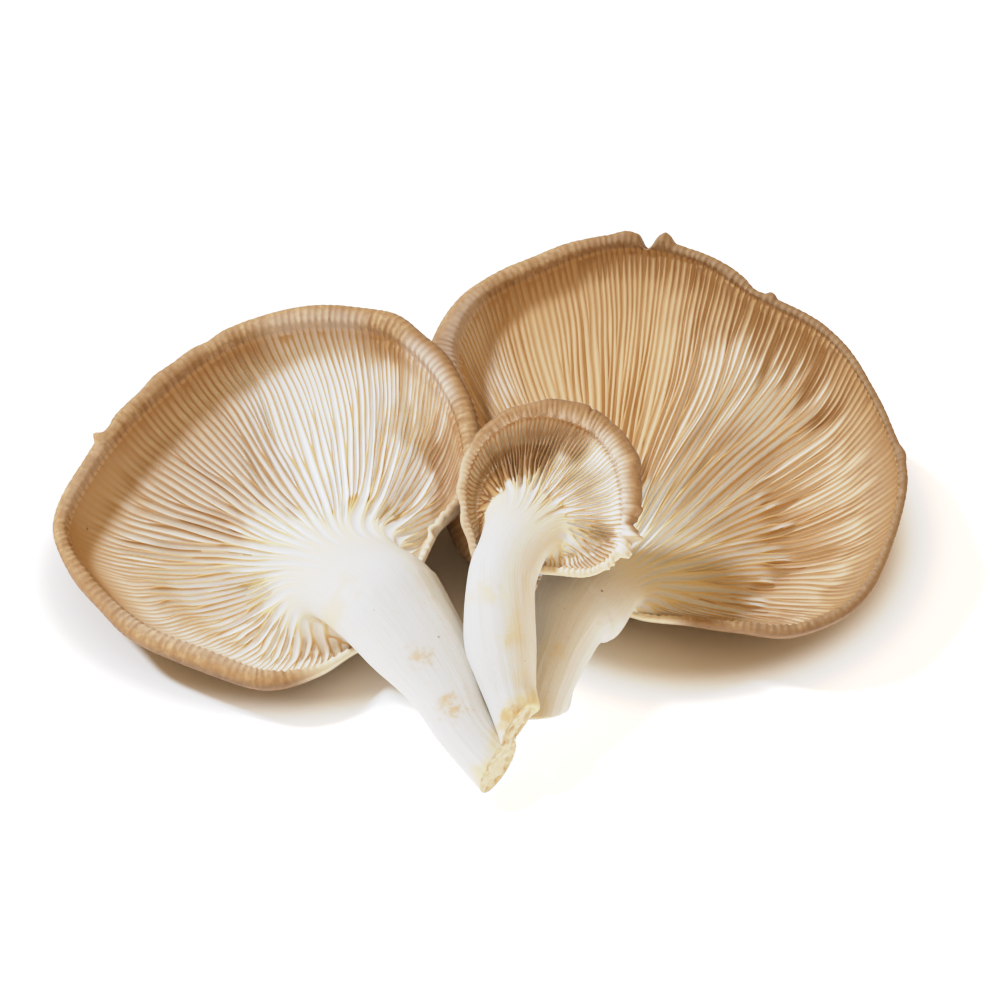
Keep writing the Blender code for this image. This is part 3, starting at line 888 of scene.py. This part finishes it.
class Nodes:
    """A short way to write a node tree."""

    def __init__(self, material):
        material.use_nodes = True
        self.tree = material.node_tree
        self.shader = self.tree.nodes["Principled BSDF"]

    def link(self, source, target):
        self.tree.links.new(source, target)

    def attribute(self, name, output="Fac"):
        node = self.tree.nodes.new("ShaderNodeAttribute")
        node.attribute_name = name
        return node.outputs[output]

    def channels(self, vector):
        node = self.tree.nodes.new("ShaderNodeSeparateXYZ")
        self.link(vector, node.inputs["Vector"])
        return node.outputs

    def ramp(self, factor, stops):
        node = self.tree.nodes.new("ShaderNodeValToRGB")
        elements = node.color_ramp.elements
        while len(elements) < len(stops):
            elements.new(0.5)
        for element, (position, colour) in zip(elements, stops):
            element.position = position
            element.color = colour
        self.link(factor, node.inputs["Fac"])
        return node.outputs["Color"]

    def span(self, value, low, high, to_low=0.0, to_high=1.0, smooth=True):
        node = self.tree.nodes.new("ShaderNodeMapRange")
        node.interpolation_type = "SMOOTHSTEP" if smooth else "LINEAR"
        self.link(value, node.inputs["Value"])
        set_inputs(node, {"From Min": low, "From Max": high, "To Min": to_low, "To Max": to_high})
        return node.outputs["Result"]

    def math(self, operation, first, second):
        node = self.tree.nodes.new("ShaderNodeMath")
        node.operation = operation
        for socket, value in zip(node.inputs, (first, second)):
            if isinstance(value, float):
                socket.default_value = value
            else:
                self.link(value, socket)
        return node.outputs["Value"]

    def times(self, first, second):
        return self.math("MULTIPLY", first, second)

    def mapped(self, vector, kind, scale, middle=(0.0, 0.0, 0.0)):
        node = self.tree.nodes.new("ShaderNodeMapping")
        node.vector_type = kind
        set_inputs(node, {"Location": middle, "Scale": scale})
        self.link(vector, node.inputs["Vector"])
        return node.outputs["Vector"]

    def noise(self, vector, scale, detail, roughness):
        node = self.tree.nodes.new("ShaderNodeTexNoise")
        set_inputs(node, {"Scale": scale, "Detail": detail, "Roughness": roughness})
        self.link(vector, node.inputs["Vector"])
        return node.outputs["Fac"]

    def position(self):
        return self.tree.nodes.new("ShaderNodeTexCoord").outputs["Object"]

    def mix(self, factor, first, second):
        node = self.tree.nodes.new("ShaderNodeMix")
        node.data_type = "RGBA"
        for socket, value in ((0, factor), (6, first), (7, second)):
            if isinstance(value, tuple):
                node.inputs[socket].default_value = value
            else:
                self.link(value, node.inputs[socket])
        return node.outputs[2]

    def distance(self, vector, point):
        node = self.tree.nodes.new("ShaderNodeVectorMath")
        node.operation = "DISTANCE"
        self.link(vector, node.inputs[0])
        node.inputs[1].default_value = point
        return node.outputs["Value"]

    def bump(self, height, strength, distance):
        node = self.tree.nodes.new("ShaderNodeBump")
        set_inputs(node, {"Strength": strength, "Distance": distance})
        self.link(height, node.inputs["Height"])
        self.link(node.outputs["Normal"], self.shader.inputs["Normal"])


class Flesh(Nodes):
    """The material of one fruit body. Reach counts the rings from the collar to the cap's top."""

    def __init__(self, material, body):
        super().__init__(material)
        self.body = body
        self.crest = self.attribute("crest")
        self.reach = self.attribute("reach")
        self.tone = self.channels(self.attribute("tone", "Vector"))
        self.place = self.position()
        flow = self.mapped(self.attribute("flow", "Vector"), "POINT", (1.0, 1.0, 0.10))
        self.streaks = self.noise(flow, 1.0, 3.0, 0.6)
        self.blotches = self.noise(self.place, 55.0, 4.0, 0.55)
        self.flecks = self.noise(self.place, 520.0, 3.0, 0.6)
        self.grain = self.noise(self.place, 900.0, 2.0, 0.5)

    def gills(self):
        along = self.span(self.reach, -1.0, 6.0, smooth=False)
        height = self.span(self.crest, 0.0, 0.55)
        # Painted shade in the valleys between the gills, lighter on their edges.
        colour = self.mix(height, self.ramp(along, VALLEYS_PAINTED_SHADE), self.ramp(along, EDGES))
        # Painted shade, painted light and painted flat shade laid over the gill colours.
        for channel, valley, edge in LIGHT_SHADE_PAINT_COLOURS:
            colour = self.mix(self.tone[channel], colour, self.mix(height, valley, edge))
        return colour

    def stem(self):
        colour = self.mix(self.span(self.streaks, 0.50, 0.80), STEM_WHITE, STEM_STREAK)
        # Painted shade down one side of the stem, beige and streaked.
        side_shade_paint = self.mix(self.span(self.streaks, 0.35, 0.70), STEM_SIDE_SHADE_PALE, STEM_SIDE_SHADE)
        scar_and_shade_noise = self.noise(self.place, 190.0, 4.0, 0.6)
        low, high, amount = self.body["side_shade_paint"]
        # The same noise makes the painted shade's edge ragged and places the real scars.
        side = self.math("ADD", self.attribute("side"), self.times(scar_and_shade_noise, 0.8))
        colour = self.mix(self.span(side, low + 0.4, high + 0.4, 0.0, amount), colour, side_shade_paint)
        colour = self.mix(self.span(self.flecks, 0.58, 0.80, 0.0, 0.35), colour, STEM_FLECK)
        colour = self.mix(self.span(self.blotches, 0.60, 0.72, 0.0, 0.8), colour, STEM_BLOTCH)
        return self.mix(self.span(scar_and_shade_noise, 0.735, 0.76), colour, STEM_SCAR)

    def stained(self, colour):
        uneven = self.times(self.math("SUBTRACT", self.flecks, 0.5), STAIN_RAGGEDNESS)
        for x, y, z, radius, strength in self.body["stains"]:
            away = self.times(self.distance(self.place, (x, y, z)), 1 / radius)
            stain = self.span(self.math("ADD", away, uneven), 1.1, -0.1, 0.0, strength)
            colour = self.mix(stain, colour, STAIN_DARK if radius < SPECK else STAIN_TAN)
        return colour

    def skin(self):
        """The brown skin: the rolled rim, and the cap's top, which faces the table."""
        colour = self.mix(self.span(self.streaks, 0.30, 0.75), RIM_BROWN, RIM_PALE)
        colour = self.mix(self.span(self.blotches, 0.4, 0.7), colour, RIM_BLOTCH)
        colour = self.mix(self.span(self.grain, 0.35, 0.65, 0.0, 0.6), colour, RIM_GRAIN)
        # Painted shade on the roll, where the gill face next to it has painted shade.
        colour = self.mix(self.times(self.tone["X"], 0.8), colour, RIM_PAINTED_SHADE)
        # Painted shade in the grooves between the pleats of the roll.
        colour = self.mix(self.span(self.crest, 0.7, 0.0, 0.0, 0.65), colour, RIM_GROOVE_PAINTED_SHADE)
        threads = self.noise(self.place, 60.0, 6.0, 0.7)
        top = self.mix(self.span(threads, 0.30, 0.70), TOP_DARK, TOP_PALE)
        top = self.mix(self.span(self.streaks, 0.35, 0.75, 0.0, 0.5), top, TOP_STREAK)
        colour = self.mix(self.span(self.reach, 8.0, 9.2), colour, top)
        bare = self.times(self.attribute("bare"), self.span(self.reach, 12.5, 9.0))
        colour = self.mix(bare, colour, BARE_FLESH)
        # A painted highlight, paler along the roll's inner side.
        rim_painted_highlight = self.times(self.span(self.streaks, 0.35, 0.60, 0.2, 1.0), self.body["rim_painted_highlight"])
        colour = self.mix(self.times(self.span(self.reach, 8.0, 6.4), rim_painted_highlight), colour, RIM_PAINTED_HIGHLIGHT)
        # Painted light on the lip, where the gill face next to it has painted light.
        lip_painted_light = self.times(self.span(self.reach, 8.2, 6.8), self.tone["Y"])
        return self.mix(lip_painted_light, colour, LIP_PAINTED_LIGHT)

    def colour(self):
        colour = self.stained(self.mix(self.span(self.reach, -1.2, 0.1), self.stem(), self.gills()))
        colour = self.mix(self.span(self.reach, 5.9, 6.4), colour, self.skin())
        cut = self.mix(self.span(self.grain, 0.3, 0.7), CUT_PALE, CUT_DARK)
        return self.mix(self.span(self.reach, -6.0, -6.4), colour, cut)


def flesh_material(body):
    material = bpy.data.materials.new(body["name"] + "_flesh")
    nodes = Flesh(material, body)
    nodes.link(nodes.colour(), nodes.shader.inputs["Base Color"])
    nodes.link(nodes.span(nodes.grain, 0.2, 0.8, 0.52, 0.68), nodes.shader.inputs["Roughness"])
    relief = nodes.math("ADD", nodes.times(nodes.streaks, 0.6), nodes.times(nodes.grain, 0.4))
    nodes.bump(relief, 0.45, 0.0003)
    set_inputs(nodes.shader, {"Subsurface Weight": 0.25, "Subsurface Radius": (1.0, 0.6, 0.35),
                              "Subsurface Scale": 0.001, "Specular IOR Level": 0.25})
    return material


# ---- stage
FLOOR_HALF_SIZE = 3.0
FLOOR_GLOW = 1.45
FLOOR_COLOUR = (0.95, 0.95, 0.95, 1.0)
FLOOR_SHADE_COLOUR = (0.60, 0.52, 0.42, 1.0)
# Parts of the floor with a painted shadow, a darker colour and no glow: (middle, radii) in metres. The
# rest glows white, painted light that washes out the cast shadows.
FLOOR_SHADES = (((-0.034, 0.0), (0.056, 0.042)), ((0.040, 0.012), (0.049, 0.048)))
# Where the glow and the plain white colour begin and are full, in radii, out from the painted shadow.
GLOW_EDGE = (0.80, 1.12)
SHADE_EDGE = (0.60, 1.05)


def make_stage():
    mesh = bpy.data.meshes.new("studio_floor")
    size = FLOOR_HALF_SIZE
    corners = [(-size, -size, 0), (size, -size, 0), (size, size, 0), (-size, size, 0)]
    mesh.from_pydata(corners, [], [(0, 1, 2, 3)])
    floor = bpy.data.objects.new("studio_floor", mesh)
    bpy.context.scene.collection.objects.link(floor)
    material = bpy.data.materials.new("studio_white")
    nodes = Nodes(material)
    set_inputs(nodes.shader, {"Roughness": 0.9, "Specular IOR Level": 0.1,
                              "Emission Color": (1.0, 1.0, 1.0, 1.0)})
    glows = []
    bares = []
    for middle, radii in FLOOR_SHADES:
        away = nodes.mapped(nodes.position(), "TEXTURE", (*radii, 1.0), (*middle, 0.0))
        away = nodes.distance(away, (0.0, 0.0, 0.0))
        glows.append(nodes.span(away, *GLOW_EDGE, 0.0, FLOOR_GLOW))
        bares.append(nodes.span(away, *SHADE_EDGE))
    # The floor's painted shadow: a darker colour under the cluster, and a glow of painted light everywhere
    # else.
    bare = nodes.math("MINIMUM", *bares)
    nodes.link(nodes.mix(bare, FLOOR_SHADE_COLOUR, FLOOR_COLOUR), nodes.shader.inputs["Base Color"])
    nodes.link(nodes.math("MINIMUM", *glows), nodes.shader.inputs["Emission Strength"])
    floor.data.materials.append(material)


def aim_at(thing, target):
    gaze = mathutils.Vector(target) - thing.location
    thing.rotation_euler = gaze.to_track_quat("-Z", "Y").to_euler()


KEY_DIRECTION = (-0.60, 0.18, 0.78)
KEY_COLOUR = (0.70, 0.83, 1.0)
KEY_POWER = 4.9
KEY_SPREAD = 8.0
FILL_COLOUR = (1.0, 0.71, 0.40)
FILL_POWER = 0.74
LENS = 100.0
CAMERA_ELEVATION = 45.0
CAMERA_DISTANCE = 0.558

# Film response: (brightness of the light, brightness of the picture), both linear.
TONE_POINTS = ((0.0, 0.0), (0.30, 0.30), (0.55, 0.53), (0.80, 0.70), (1.10, 0.79), (1.50, 0.86),
               (1.95, 1.0), (4.0, 1.0))
TONE_RANGE = 4.0


def tone_response():
    """Lit flesh stays a soft white and only the bare table reaches full white."""
    view = bpy.context.scene.view_settings
    view.view_transform = "Standard"
    view.use_curve_mapping = True
    mapping = view.curve_mapping
    mapping.white_level = (TONE_RANGE, TONE_RANGE, TONE_RANGE)
    curve = mapping.curves[3]
    for light, picture in TONE_POINTS[1:-1]:
        curve.points.new(light / TONE_RANGE, picture)
    curve.points[0].location = TONE_POINTS[0]
    curve.points[-1].location = (1.0, TONE_POINTS[-1][1])
    for point in curve.points:
        point.handle_type = "VECTOR"
    mapping.update()


def light_scene():
    light = bpy.data.lights.new("key_light", "SUN")
    light.energy = KEY_POWER
    light.color = KEY_COLOUR
    light.angle = math.radians(KEY_SPREAD)
    lamp = bpy.data.objects.new("key_light", light)
    bpy.context.scene.collection.objects.link(lamp)
    lamp.location = KEY_DIRECTION
    aim_at(lamp, (0.0, 0.0, 0.0))
    world = bpy.data.worlds.new("studio")
    world.use_nodes = True
    set_inputs(world.node_tree.nodes["Background"], {"Color": (*FILL_COLOUR, 1.0), "Strength": FILL_POWER})
    bpy.context.scene.world = world
    tone_response()


def make_camera():
    data = bpy.data.cameras.new("camera")
    data.lens = LENS
    data.sensor_width = 36.0
    data.clip_end = 20.0
    camera = bpy.data.objects.new("camera", data)
    bpy.context.scene.collection.objects.link(camera)
    elevation = math.radians(CAMERA_ELEVATION)
    target = ORIGIN_SHIFT * MM
    camera.location = (target[0], target[1] - CAMERA_DISTANCE * math.cos(elevation),
                       CAMERA_DISTANCE * math.sin(elevation))
    aim_at(camera, tuple(target))
    bpy.context.scene.camera = camera


for fruit_body in FRUIT_BODIES:
    mushroom = build_mushroom(fruit_body)
    mushroom.data.materials.append(flesh_material(fruit_body))
make_stage()
light_scene()
make_camera()
